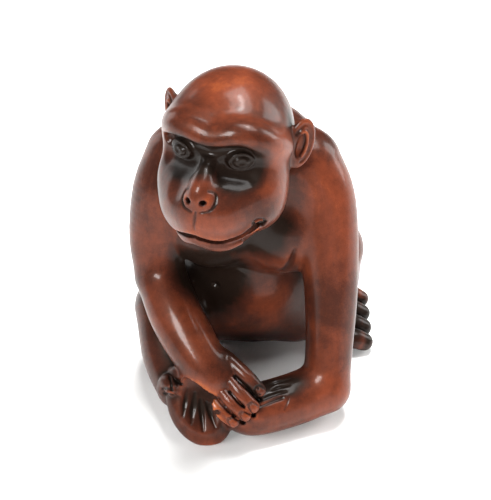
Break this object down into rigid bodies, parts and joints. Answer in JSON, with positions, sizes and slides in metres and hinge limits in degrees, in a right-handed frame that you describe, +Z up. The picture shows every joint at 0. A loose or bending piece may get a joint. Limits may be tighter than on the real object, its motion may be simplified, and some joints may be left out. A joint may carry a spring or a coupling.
{
  "type": "netsuke",
  "caption": "Carved wooden netsuke of a seated monkey, one hand laid over the other wrist and one sole turned up, standing by its own weight with a cord channel in the back.",
  "frame": {"origin": "middle of the bounding box at the underside, on the plane that the figure stands on", "axes": "+Z up, the figure faces -Y and its left hand is towards +X"},
  "size_m": [0.0364, 0.0368, 0.0513],
  "materials": {
    "stained_boxwood": "boxwood stained dark reddish brown, worn lighter on the high places and polished"
  },
  "bodies": {
    "root": {"carved_monkey": "stained_boxwood"}
  },
  "joints": []
}
